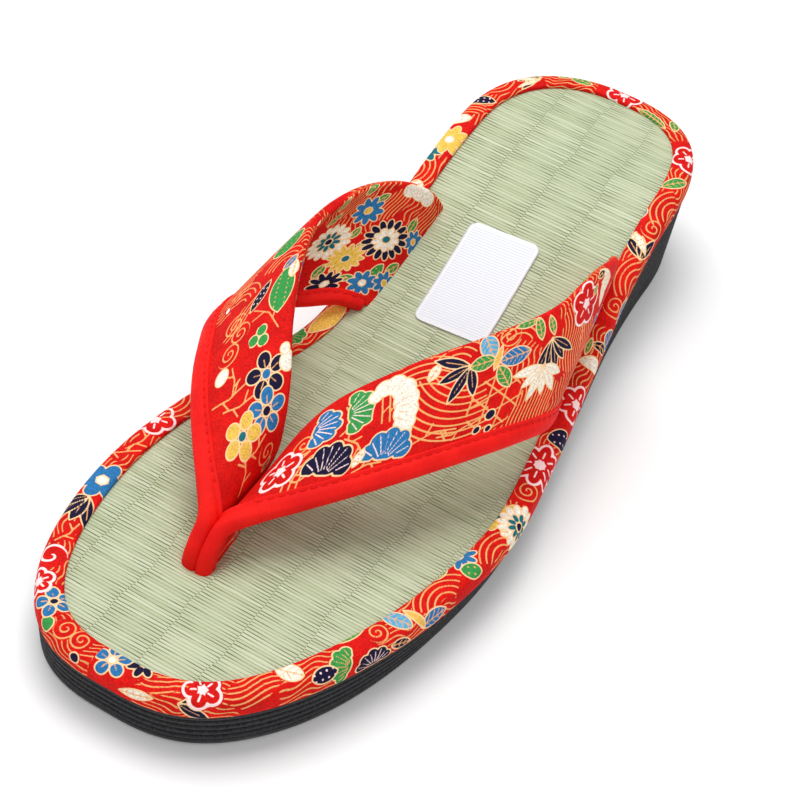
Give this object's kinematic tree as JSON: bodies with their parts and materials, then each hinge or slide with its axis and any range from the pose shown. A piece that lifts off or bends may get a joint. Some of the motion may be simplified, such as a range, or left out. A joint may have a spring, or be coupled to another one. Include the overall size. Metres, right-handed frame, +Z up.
{
  "type": "zori sandal",
  "caption": "Left zori thong sandal: ribbed wedge sole, rush-mat footbed with a cloth-bound rim, padded printed cloth thong with piped front edges and a toe post.",
  "frame": {"origin": "on the floor, under the middle of the sole's length, where the flat underside rests", "axes": "+Z up, -Y towards the toe and +Y towards the heel, -X towards the arch and big-toe side, +X towards the outer side"},
  "size_m": [0.0959, 0.2496, 0.0507],
  "materials": {
    "sole_sponge": "matt black closed-cell sponge with fine level ribs",
    "rush_mat": "pale green woven rush, satin",
    "printed_cloth_rim": "red crepe cotton with a gold-lined flower print",
    "printed_cloth": "red crepe cotton with a gold-lined flower print, padded",
    "red_piping": "plain red bias tape, slight sheen, stitched",
    "sticker": "blank white sticker"
  },
  "bodies": {
    "root": {"sole": "sole_sponge", "insole": "rush_mat", "edge_binding": "printed_cloth_rim", "strap": "printed_cloth", "strap_piping": "red_piping", "label": "sticker"}
  },
  "joints": []
}
